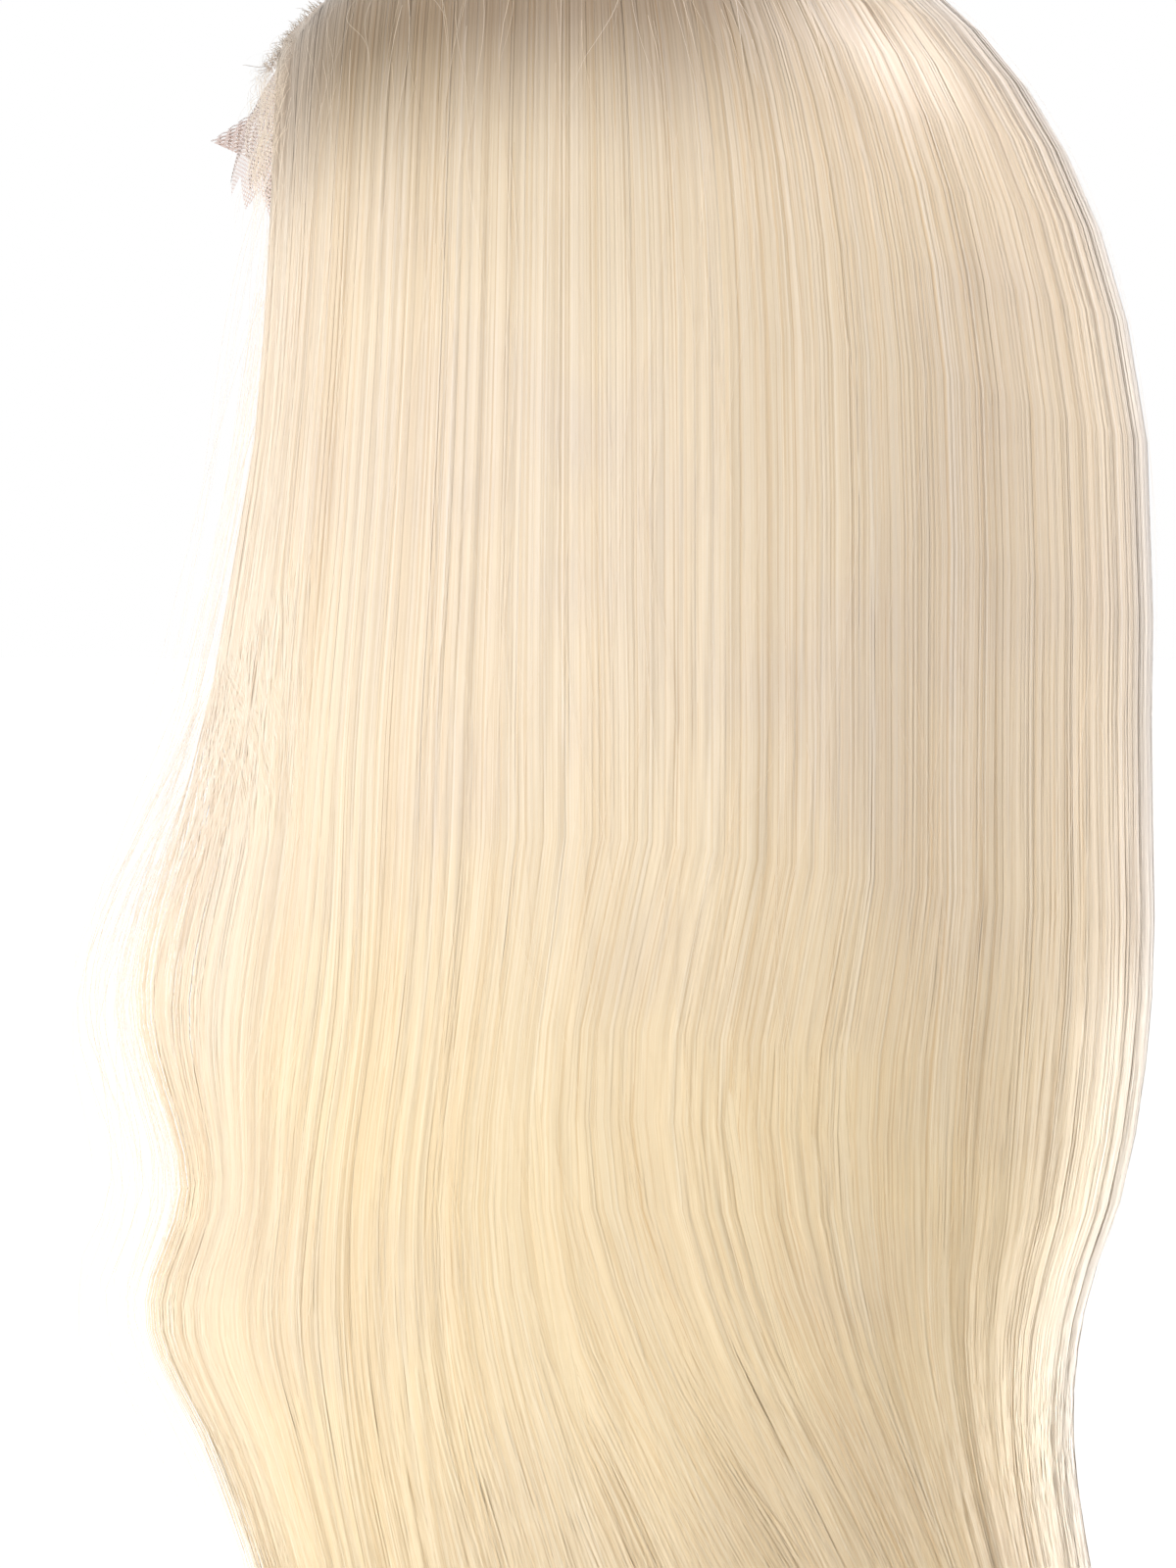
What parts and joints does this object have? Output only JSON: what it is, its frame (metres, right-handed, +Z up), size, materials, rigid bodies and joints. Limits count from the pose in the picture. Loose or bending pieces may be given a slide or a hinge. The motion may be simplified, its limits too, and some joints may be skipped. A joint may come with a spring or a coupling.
{
  "type": "lace front wig",
  "caption": "Lace front wig: a net cap with a sheer pinked lace panel at the forehead, a nape band and long straight blonde hair from a centre part, softly waved at the ends.",
  "frame": {"origin": "inside top of the cap, where the crown of a head touches it", "axes": "+Z up along the head, -Y where the wearer faces, +X to the wearer's left"},
  "size_m": [0.2084, 0.258, 0.506],
  "materials": {
    "hair": "silky",
    "lace": "sheer matte net",
    "cap_net": "matte net",
    "elastic": "matte"
  },
  "bodies": {
    "root": {"cap": "cap_net", "lace_front": "lace", "nape_band": "elastic", "face_lock_left": "hair", "hair_front_left": "hair", "hair_side_left": "hair", "hair_back": "hair", "hair_side_right": "hair", "hair_front_right": "hair", "face_lock_right": "hair"}
  },
  "joints": []
}
